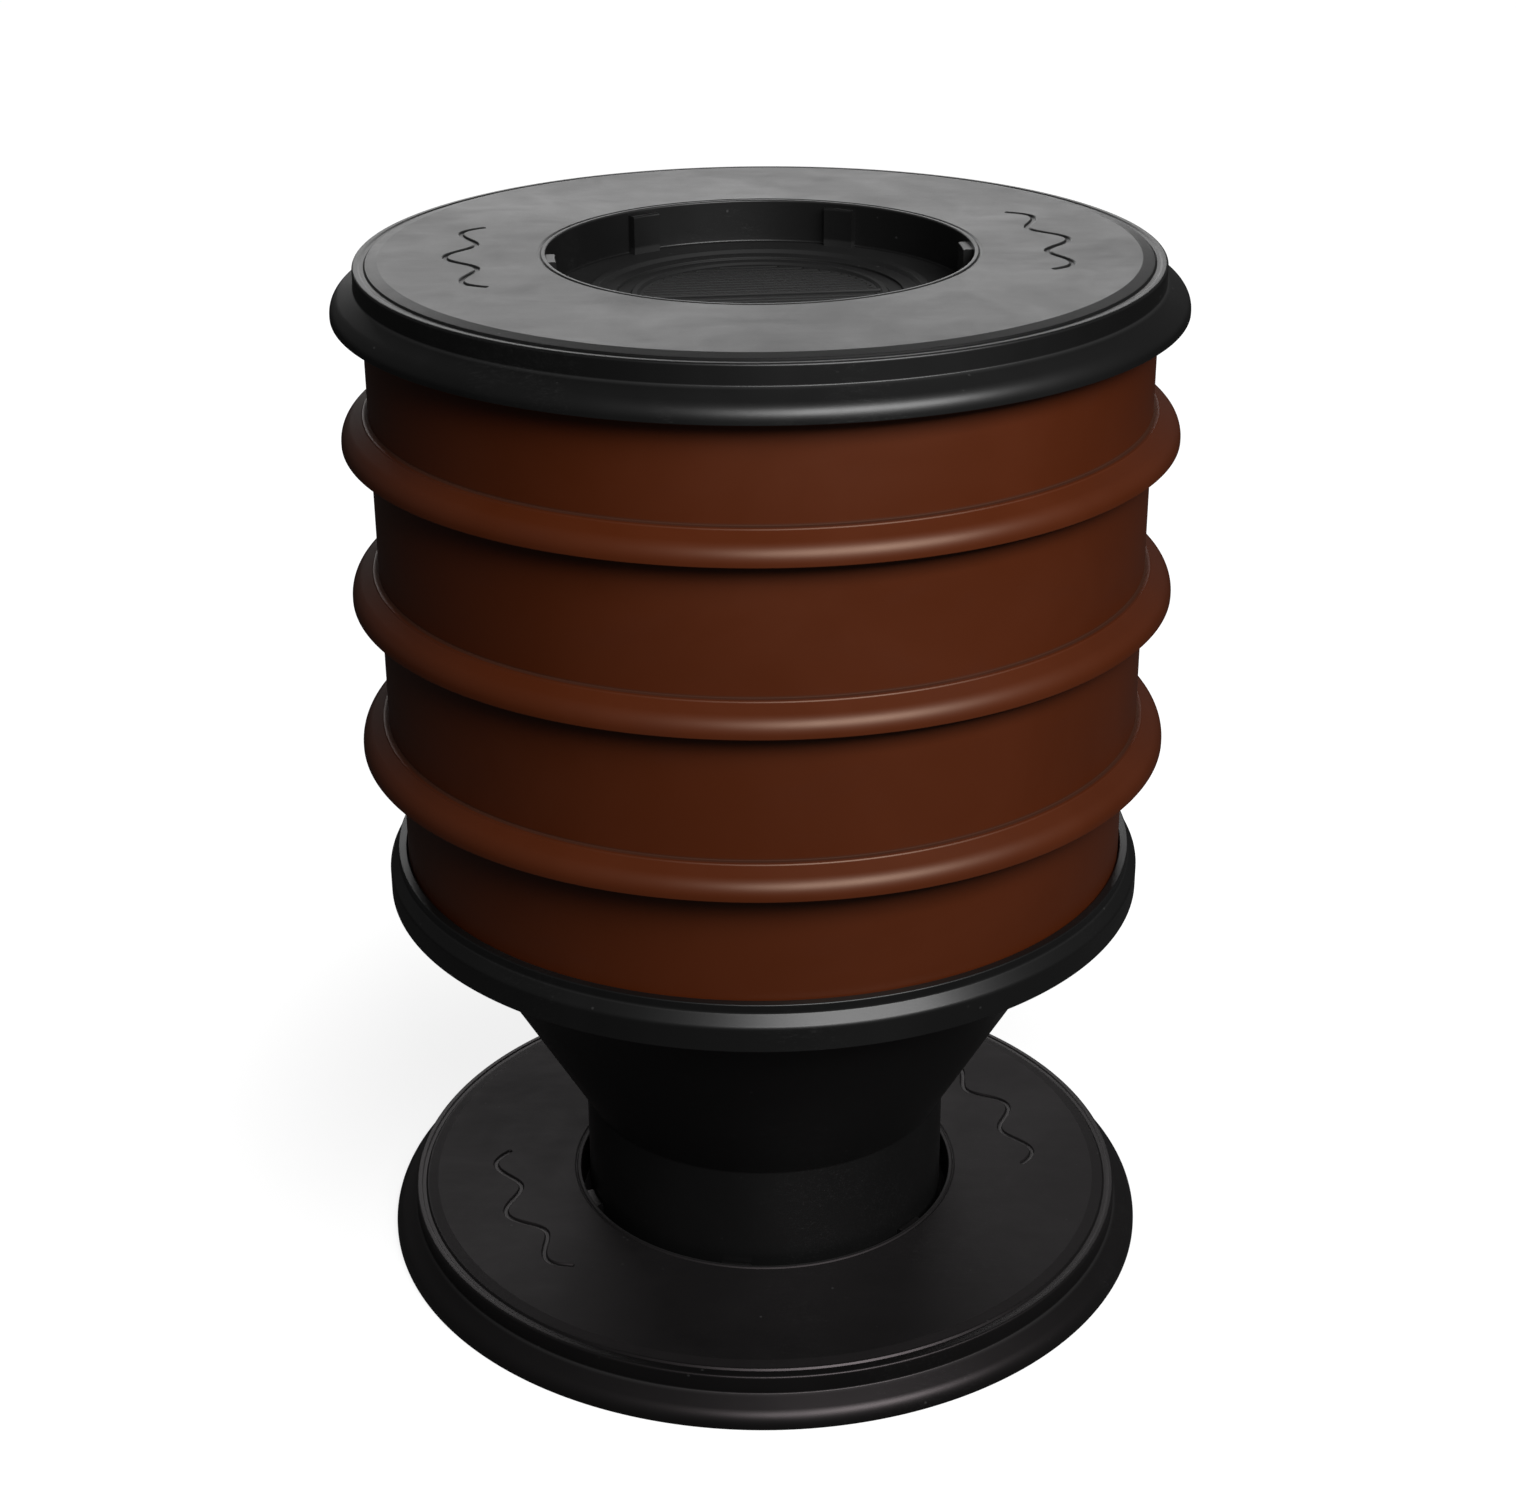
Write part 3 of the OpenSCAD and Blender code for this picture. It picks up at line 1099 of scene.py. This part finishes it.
    def wavy_groove(self) -> bmesh.types.BMesh:
        """Makes the cutter of one wavy groove: a rounded valley with soft lips, swept along its wave.

        Returns:
            A closed mesh, in metres.
        """
        half, deep, lip = self.groove_w / 2, self.groove_depth, self.groove_lip
        belly_w, belly_z = self.groove_belly_shares
        side = [(half + 2 * lip, self.groove_clear), (half + 2 * lip, self.groove_start),
                (half + lip, -self.groove_dip), (half, -self.groove_edge),
                (half * belly_w, -belly_z * deep)]
        shape = side + [(0.0, -deep)] + [(-y, z) for y, z in reversed(side)]
        turns = [self.taper_turn * i for i in range(1, self.taper_steps + 1)]
        frames = [self._taper(0.0, -a) for a in reversed(turns)]
        frames += [self.wave_place(i / self.groove_steps) for i in range(self.groove_steps + 1)]
        frames += [self._taper(1.0, a) for a in turns]
        bm = bmesh.new()
        verts = [bm.verts.new(frames[0] @ Vector((0.0, y, z))) for y, z in shape]
        edges = [bm.edges.new((a, b)) for a, b in zip(verts, verts[1:] + verts[:1])]
        bm.faces.new(verts)
        for before, after in zip(frames, frames[1:]):
            grown = bmesh.ops.extrude_edge_only(bm, edges=edges)["geom"]
            fresh = [g for g in grown if isinstance(g, bmesh.types.BMVert)]
            edges = [g for g in grown if isinstance(g, bmesh.types.BMEdge)]
            bmesh.ops.transform(bm, matrix=after @ before.inverted(), verts=fresh)
        bmesh.ops.contextual_create(bm, geom=edges)
        bmesh.ops.scale(bm, vec=(MM, MM, MM), verts=bm.verts)
        bmesh.ops.recalc_face_normals(bm, faces=bm.faces)
        return bm

    def _taper(self, end: float, angle: float) -> Matrix:
        """A cross-section of a groove's round end.

        Args:
            end: Share of the length at which the end is, 0 or 1.
            angle: How far round the end it is, in degrees, below zero before the first.

        Returns:
            The frame, drawn in across the groove and moved along it.
        """
        a = math.radians(angle)
        shift = Matrix.Translation((self.groove_w / 2 * math.sin(a), 0.0, 0.0))
        shrink = Matrix.Diagonal((1.0, math.cos(a), 1.0, 1.0))
        return self.wave_place(end) @ shift @ shrink

    def mesh(self) -> bpy.types.Mesh:
        """Builds the moulding in its own frame.

        The slots are cut last, because any later cut loses slivers of the slotted panel and leaves it open.

        Returns:
            The finished mesh.
        """
        body = as_object(turned(self.section()), "cover")
        carve(body, as_object(self.pads(), "pads"), Carve.JOIN)
        carve(body, as_object(self.ribs(), "ribs"), Carve.JOIN)
        sides = (Matrix.Identity(4), Matrix.Scale(-1.0, 4, (1, 0, 0)))
        pair = gathered((self.wavy_groove(), side) for side in sides)
        carve(body, as_object(pair, "grooves"), Carve.CUT)
        carve(body, as_object(self.slots(), "slots"), Carve.CUT)
        return finished(body)

    def dress(self, coat: Coat, painted_sheen_and_wear: float) -> None:
        """Gives the face its painted sheen, a grey that stands for the light from above, and its wear.

        Args:
            coat: The coat of the moulding.
            painted_sheen_and_wear: How far painted sheen greys the face, from 0 to 1. It also strengthens the
                scuffs and leaves the face smoother.
        """
        wear, graph, where = self.wear, coat.graph, coat.place.where
        r, h, top = coat.place.radius, coat.place.height, self.height
        fall = ((r - self.fall_r) / self.face_fall_w).clamped() * self.face_fall
        on_face = (top - fall - h).step(*wear.face_depth)
        on_face = on_face * r.step(*(self.recess_r + reach for reach in wear.recess_reach))
        edge = self.fall_r + self.face_fall_w
        on_face = on_face * r.step(edge, edge - wear.edge_reach)
        blotch = graph.noise(where, scale=24.0, detail=6.0, rough=0.66, warp=0.8)
        streaked = graph.stretched(where, wear.streak_stretch)
        streak = graph.noise(streaked, scale=2.6, detail=4.0, rough=0.65, warp=0.4)
        patch = (blotch - MEAN) * wear.blotch_share + (streak - MEAN) * wear.streak_share + wear.whole_share
        # Painted sheen: the face is greyed, in blotches and streaks, to stand for the light from above
        coat.paint((on_face * patch * painted_sheen_and_wear).clamped(), PAINTED_SHEEN)
        uneven = (patch - wear.whole_share) * wear.patch_rough
        coat.rough = coat.rough + on_face * (uneven + (1.0 - painted_sheen_and_wear) * wear.fresh_rough)
        vent = h.step(*(self.floor + up for up in wear.vent_height))
        vent = vent * r.step(self.recess_r, self.recess_r - wear.vent_reach)
        coat.rough = coat.rough + vent * wear.vent_rough
        # A pale band along the bead: rubbed wear, and a painted highlight for the thin line of light along
        # it. The recess lip is only rubbed.
        rubbed_and_highlit_bead = h.band(self.bead_z + wear.bead_up, wear.bead_half)
        rubbed_and_highlit_bead = rubbed_and_highlit_bead * r.step(self.rim_r - wear.bead_reach, self.rim_r)
        lip = h.step(*(top - depth for depth in wear.lip_depth))
        lip = lip * r.band(self.recess_r + wear.lip_out, wear.lip_half)
        coat.paint(rubbed_and_highlit_bead.most(lip) * wear.dust_and_highlight_share, DUST_AND_HIGHLIGHT)
        Scuffs(wear.scuffs_share + (1.0 - wear.scuffs_share) * painted_sheen_and_wear).lay(coat)


@dataclass(frozen=True)
class TrayWearAndPaintedLight:
    """Tone, painted crease shade and rubbed, painted-highlit crest of a tray: reaches in millimetres, and the
    rest as shares and roughness.
    """

    # Paler band on the crest: rubbed wear and a painted highlight
    crest_up: float = 0.9
    crest_half: float = 1.0
    crest_out: float = 1.5
    crest_share: float = 0.03
    # Painted shade in the crease, with roughness raised there
    crease_half: float = 1.6
    crease_out: Pair = (3.2, 1.2)
    crease_share: float = 0.6
    crease_rough: float = 0.35
    tone_stretch: Triple = (5.0, 5.0, 11.0)
    tone_span: Pair = (0.52, 0.75)
    tone_share: float = 0.25
    tone_rough: float = 0.1


@dataclass
class Tray:
    """A working tray: an upper wall with a skirt, and a narrower lower wall with a perforated floor."""

    fits: Fits
    skirt_r: float
    lower_h: float
    upper_h: float
    seat_z: float = 8.2
    ledge: float = 3.0
    floor: float = 3.0
    bead_z: float = 17.7
    bead_out: float = 3.9
    step_w: float = 0.5
    step_h: float = 0.7
    cove: float = 0.5
    edge_z: float = 1.5
    shoulder_z: float = 3.2
    skirt_round: float = 12.5
    hole_r: float = 5.0
    hole_rings: int = 6
    hole_margin: float = 21.0
    hole_flare: float = 0.5
    holes_more: int = 6
    # Roundings of the edges
    foot_round: float = 1.6
    inner_round: float = 0.8
    seat_round: float = 0.3
    bead_round: float = 0.6
    step_round: float = 0.4
    rim_round: float = 0.7
    ledge_round: float = 1.0
    floor_round: float = 2.0
    # Tone, crest rubbing with a painted highlight, and painted shade in the crease
    wear: TrayWearAndPaintedLight = TrayWearAndPaintedLight()

    def section(self) -> Section:
        """Draws the half section, from the floor's underside out and up and back down the inside.

        Returns:
            The closed section.
        """
        fits, wall = self.fits, self.fits.wall
        seat_r = fits.tray_r + fits.seat_margin
        bead = Vector((fits.tray_r + self.bead_out, self.bead_z))
        centre = Vector((self.skirt_r - self.skirt_round, self.shoulder_z))
        skirt = Skirt(bead, centre, self.skirt_round, self.skirt_r)
        low, ledge = -self.lower_h, self.seat_z + self.ledge
        section = Section()
        section.to(0, low).to(fits.nest_r, low, self.foot_round)
        section.to(fits.nest_r, self.seat_z, self.inner_round).to(seat_r, self.seat_z, self.seat_round)
        section.to(seat_r, skirt.height_at(seat_r, wall), self.inner_round)
        skirt.draw(section, wall, self.edge_z)
        step_z = self.bead_z + self.step_h
        section.to(bead.x, bead.y, self.bead_round).to(bead.x - self.step_w, step_z, self.step_round)
        section.to(fits.tray_r, step_z + self.step_w, self.cove)
        section.to(fits.tray_r, self.upper_h, self.rim_round)
        section.to(fits.tray_r - wall, self.upper_h, self.rim_round)
        section.to(fits.tray_r - wall, ledge, self.ledge_round)
        section.to(fits.nest_r - wall, ledge, self.ledge_round)
        section.to(fits.nest_r - wall, low + self.floor, self.floor_round).to(0, low + self.floor)
        return section

    def drain_holes(self) -> bmesh.types.BMesh:
        """Makes the cutters of the drain holes, on rings round the middle.

        Returns:
            One mesh of all the cutters.
        """
        pitch = (self.fits.nest_r - self.fits.wall - self.hole_margin) / self.hole_rings
        low, high = -self.lower_h - self.fits.overrun, self.floor - self.lower_h
        parts = []
        for ring in range(self.hole_rings + 1):
            count = max(self.holes_more * ring, 1)
            for i in range(count):
                spin = Matrix.Rotation(math.tau * i / count, 4, "Z")
                place = spin @ Matrix.Translation((pitch * ring * MM, 0.0, 0.0))
                parts.append((rod(self.hole_r, low, high, self.hole_flare), place))
        return gathered(parts)

    def mesh(self) -> bpy.types.Mesh:
        """Builds the moulding in its own frame.

        Returns:
            The finished mesh.
        """
        body = as_object(turned(self.section()), "tray")
        carve(body, as_object(self.drain_holes(), "holes"), Carve.CUT)
        return finished(body)

    def dress(self, coat: Coat) -> None:
        """Gives the tray its paler crest, rubbed and painted as a highlight, painted shade in its crease and
        its uneven tone.

        Args:
            coat: The coat of the moulding.
        """
        wear, graph, tray_r = self.wear, coat.graph, self.fits.tray_r
        r, h = coat.place.radius, coat.place.height
        # A paler band on the crest: rubbed wear, and a painted highlight for the thin line of light along it
        crest = h.band(self.bead_z + wear.crest_up, wear.crest_half)
        crest = crest * r.step(tray_r + wear.crest_out, self.skirt_r)
        coat.paint(crest * wear.crest_share, PALE_BROWN)
        # Painted shade in the crease under the upper wall; the raised roughness dulls its highlight
        crease = h.band(self.bead_z + self.step_h + self.step_w, wear.crease_half)
        crease = crease * r.step(*(tray_r + out for out in wear.crease_out))
        coat.paint(crease * wear.crease_share, CREASE_SHADE)
        coat.rough = coat.rough + crease * wear.crease_rough
        stretched = graph.stretched(coat.place.where, wear.tone_stretch)
        tone = graph.noise(stretched, scale=2.2, detail=4.0, rough=0.6, warp=0.5)
        coat.paint(tone.step(*wear.tone_span) * wear.tone_share, WARM_BROWN)
        coat.rough = coat.rough + (tone - MEAN) * wear.tone_rough


@dataclass
class Sump:
    """The funnel that collects the liquid: a rim that seats the bottom tray, a cone and a neck."""

    fits: Fits
    height: float
    neck_h: float = 91.4
    rim_h: float = 27.4
    skirt_out: float = 5.5
    lip_up: float = 4.7
    lip_h: float = 5.7
    lip_gap: float = 0.7
    seat_w: float = 8.6
    round: float = 4.2
    arch: float = 3.0
    arch_w: float = 1.0
    arch_round: float = 1.0
    floor: float = 3.0
    floor_round: float = 2.5
    foot_round: float = 0.6
    neck_round: float = 1.4
    cone_round: float = 3.0
    cone_top_round: float = 1.2
    under_round: float = 1.0
    bead_round: float = 0.8
    lip_round: float = 0.9
    lip_foot_round: float = 0.8
    # Pale line along the bead below the lip: rubbed wear and a painted highlight
    lip_mark_up: float = 0.2
    lip_mark_half: float = 1.2
    lip_mark_reach: float = 1.5
    lip_mark_share: float = 0.05
    scuffs_share: float = 0.45

    def section(self) -> Section:
        """Draws the half section, from the bottom of the neck out and up to the lip and back down.

        Returns:
            The closed section.
        """
        fits, wall = self.fits, self.fits.wall
        rim_z = self.height - self.rim_h
        seat_z = self.height - self.lip_up
        under_z = seat_z - wall
        skirt_r = fits.tray_r + self.skirt_out
        bead = Vector((fits.tray_r, self.height - self.lip_h))
        centre = Vector((skirt_r - self.round, rim_z + self.rim_h / 2))
        skirt = Skirt(bead, centre, self.round, skirt_r)
        top_r = fits.nest_r - self.seat_w + wall
        lean = (top_r - fits.neck_r) / (under_z - self.neck_h)
        across = wall * math.hypot(1.0, lean)
        in_r, foot_r = fits.neck_r - wall, fits.neck_r - fits.neck_foot_w
        section = Section()
        section.to(0, self.arch).to(foot_r - self.arch_w, self.arch, self.arch_round)
        section.to(foot_r, 0, self.foot_round).to(fits.neck_r, 0, self.neck_round)
        section.to(fits.neck_r, self.neck_h, self.cone_round).to(top_r, under_z, self.under_round)
        section.to(skirt.radius_at(under_z, wall), under_z, self.under_round)
        skirt.draw(section, wall, rim_z)
        section.to(bead.x, bead.y, self.bead_round).to(fits.tray_r, self.height, self.lip_round)
        section.to(fits.nest_r + self.lip_gap, self.height, self.lip_round)
        section.to(fits.nest_r + self.lip_gap, seat_z, self.lip_foot_round)
        section.to(top_r + wall * lean - across, seat_z, self.cone_top_round)
        section.to(in_r, self.neck_h + (across - wall) / lean, self.cone_round)
        section.to(in_r, self.arch + self.floor, self.floor_round).to(0, self.arch + self.floor)
        return section

    def mesh(self) -> bpy.types.Mesh:
        """Builds the moulding in its own frame.

        Returns:
            The finished mesh.
        """
        return finished(as_object(turned(self.section()), "sump"))

    def dress(self, coat: Coat) -> None:
        """Gives the sump a pale line along the bead below its lip, rubbed wear and a painted highlight, and a
        few scuffs.

        Args:
            coat: The coat of the moulding.
        """
        tray_r = self.fits.tray_r
        # A pale line along the bead below the lip: rubbed wear, and a painted highlight for the thin line of
        # light there
        lip = coat.place.height.band(self.height - self.lip_h + self.lip_mark_up, self.lip_mark_half)
        lip = lip * coat.place.radius.step(tray_r - self.lip_mark_reach, tray_r)
        coat.paint(lip * self.lip_mark_share, DUST_AND_HIGHLIGHT)
        Scuffs(self.scuffs_share).lay(coat)


# The whole object


@dataclass
class Wormery:
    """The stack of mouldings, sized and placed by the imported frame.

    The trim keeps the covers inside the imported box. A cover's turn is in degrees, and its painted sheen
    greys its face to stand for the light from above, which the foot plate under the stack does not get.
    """

    fits: Fits = field(default_factory=Fits)
    trim: float = 0.05
    lid_turn: float = 5.8
    # Painted sheen on the lid's face, and none on the foot plate, which the stack shades
    lid_painted_sheen_and_wear: float = 1.0
    foot_turn: float = 201.0
    foot_painted_sheen_and_wear: float = 0.0
    tray_upper_h: float = 104.8

    def build(self) -> None:
        """Builds, dresses and places every piece."""
        self._covers()
        self._trays()
        self._sump()

    def _hand_over(self, piece: bpy.types.Object, node: str, plastic: Plastic,
                   dress: Callable[[Coat], None], base_z: float) -> None:
        """Finishes one piece and gives it to its body.

        Args:
            piece: The piece.
            node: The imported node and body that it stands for.
            plastic: What it is moulded from.
            dress: Adds what is particular to the moulding.
            base_z: Height in metres from which its heights are counted.
        """
        piece.data.materials.clear()
        piece.data.materials.append(plastic.material(node + "_" + plastic.name, base_z, dress))
        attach(piece, node)
        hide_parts(node)
        log.info("%s: %d faces of %s plastic", piece.name, len(piece.data.polygons), plastic.name)

    def _covers(self) -> None:
        """Builds the cover once and sets it up as the lid and as the foot plate."""
        cover = Cover(self.fits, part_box("foot_plate")[1].x / MM - self.trim)
        mesh = cover.mesh()
        # Both covers are one moulding: the lid gets the painted sheen, and the shaded foot plate gets none
        pair = (("lid", self.lid_turn, self.lid_painted_sheen_and_wear, BLACK),
                ("foot_plate", self.foot_turn, self.foot_painted_sheen_and_wear, DULL))
        for node, turn, painted_sheen_and_wear, plastic in pair:
            base_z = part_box(node)[0].z
            place = Matrix.Translation((0, 0, base_z)) @ Matrix.Rotation(math.radians(turn), 4, "Z")
            piece = placed_copy(mesh, node + "_moulding", place)
            self._hand_over(piece, node, plastic, lambda coat, f=painted_sheen_and_wear: cover.dress(coat, f), base_z)

    def _trays(self) -> None:
        """Builds the tray once and sets up the three of them."""
        low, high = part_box("tray_1")
        tray = Tray(self.fits, high.x / MM, (high.z - low.z) / MM - self.tray_upper_h, self.tray_upper_h)
        mesh = tray.mesh()
        for node in ("tray_1", "tray_2", "tray_3"):
            base_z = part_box(node)[1].z - self.tray_upper_h * MM
            piece = placed_copy(mesh, node + "_moulding", Matrix.Translation((0, 0, base_z)))
            self._hand_over(piece, node, BROWN, tray.dress, base_z)

    def _sump(self) -> None:
        """Builds the sump."""
        low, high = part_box("sump")
        sump = Sump(self.fits, (high.z - low.z) / MM)
        piece = placed_copy(sump.mesh(), "sump_moulding", Matrix.Translation((0, 0, low.z)))
        self._hand_over(piece, "sump", BLACK, sump.dress, low.z)


# Studio


@dataclass(frozen=True)
class Lamp:
    """A soft rectangular lamp, placed round the object. Lengths are in metres and angles in degrees."""

    name: str
    watts: float
    width: float
    depth: float
    azimuth: float
    elevation: float
    distance: float
    aim_z: float

    def light(self) -> None:
        """Makes the lamp, turned towards the object's axis."""
        data = bpy.data.lights.new(self.name, "AREA")
        data.shape = "RECTANGLE"
        data.size, data.size_y = self.width, self.depth
        data.energy = self.watts
        made = bpy.data.objects.new(self.name, data)
        a, e = math.radians(self.azimuth), math.radians(self.elevation)
        away = Vector((math.sin(a) * math.cos(e), -math.cos(a) * math.cos(e), math.sin(e)))
        made.location = Vector((0, 0, self.aim_z)) + away * self.distance
        made.rotation_mode = "QUATERNION"
        made.rotation_quaternion = (-away).to_track_quat("-Z", "Y")
        bpy.context.scene.collection.objects.link(made)


@dataclass(frozen=True)
class Studio:
    """Floor, surroundings, lamps and camera. Lengths are in metres, and angles in degrees but the roll."""

    floor_half: float = 9.0
    floor_seen: float = 0.30
    floor_near: float = 0.83
    floor_far: float = 1.0
    floor_fade: Pair = (0.27, 0.62)
    floor_rough: float = 0.9
    floor_dim: float = 0.07
    sky_dim: float = 0.07
    sky_gloss: float = 0.04
    camera_at: Triple = (-0.0029, -1.5081, 1.0182)
    camera_pitch: float = 24.53
    camera_roll_rad: float = -0.0064
    lens_mm: float = 62.17
    sensor_mm: float = 36.0
    lamps: tuple[Lamp, ...] = (
        Lamp(name="key", watts=47.5, width=1.6, depth=0.66, azimuth=26.0, elevation=35.0,
             distance=2.0, aim_z=0.45),
        Lamp(name="backdrop", watts=10.5, width=1.9, depth=1.0, azimuth=184.0, elevation=14.0,
             distance=2.6, aim_z=0.62),
    )

    def set_up(self) -> None:
        """Makes the whole studio."""
        self._camera()
        self._world()
        self._floor()
        for lamp in self.lamps:
            lamp.light()

    def _camera(self) -> None:
        """Makes the camera at the photograph's viewing angle."""
        data = bpy.data.cameras.new("camera")
        data.sensor_width = self.sensor_mm
        data.lens = self.lens_mm
        data.dof.use_dof = False
        camera = bpy.data.objects.new("camera", data)
        tilt = Matrix.Rotation(math.radians(90.0 - self.camera_pitch), 4, "X")
        roll = Matrix.Rotation(self.camera_roll_rad, 4, "Z")
        camera.matrix_world = Matrix.Translation(self.camera_at) @ tilt @ roll
        bpy.context.scene.collection.objects.link(camera)
        bpy.context.scene.camera = camera

    def _world(self) -> None:
        """Makes the surroundings: white where the camera looks, dimmer where they light the object."""
        world = bpy.data.worlds.new("surroundings")
        bpy.context.scene.world = world
        graph = Graph(world)
        path = graph.node("ShaderNodeLightPath")
        clear = path["Is Camera Ray"].most(path["Is Transmission Ray"])
        strength = (clear * (1.0 - self.sky_dim) + self.sky_dim).most(path["Is Glossy Ray"] * self.sky_gloss)
        back = graph.node("ShaderNodeBackground", {}, {"Color": grey(1.0), "Strength": strength})
        graph.node("ShaderNodeOutputWorld", {}, {0: back[0]})

    def _floor(self) -> None:
        """Makes the pale floor, which keeps the object's shadow."""
        bm = bmesh.new()
        bmesh.ops.create_grid(bm, x_segments=8, y_segments=8, size=self.floor_half)
        floor = as_object(bm, "floor")
        material = bpy.data.materials.new("pale_floor")
        graph = Graph(material)
        path = graph.node("ShaderNodeLightPath")
        seen = path["Is Camera Ray"].most(path["Is Transmission Ray"])
        tone = graph.mixed(seen, grey(self.floor_dim), grey(self.floor_seen))
        split = graph.node("ShaderNodeSeparateXYZ", {}, {0: graph.node("ShaderNodeTexCoord")["Object"]})
        away = from_axis(split).step(*self.floor_fade)
        lift = graph.mixed(away, grey(self.floor_near), grey(self.floor_far))
        values = {"Base Color": tone, "Roughness": self.floor_rough, "Specular IOR Level": 0.0,
                  "Emission Color": graph.mixed(seen, grey(0.0), lift), "Emission Strength": 1.0}
        shader = graph.node("ShaderNodeBsdfPrincipled", {}, values)
        graph.node("ShaderNodeOutputMaterial", {}, {0: shader[0]})
        floor.data.materials.append(material)


def clear_start_scene() -> None:
    """Deletes the objects that a new file holds."""
    for thing in list(bpy.data.objects):
        bpy.data.objects.remove(thing)


def main() -> None:
    """Loads the frame, builds the wormery round it and sets the studio."""
    logging.basicConfig(level=logging.INFO, format="%(name)s: %(message)s")
    clear_start_scene()
    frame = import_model()
    bpy.context.scene.view_settings.view_transform = "Standard"
    Studio().set_up()
    Wormery().build()


if __name__ == "__main__":
    main()
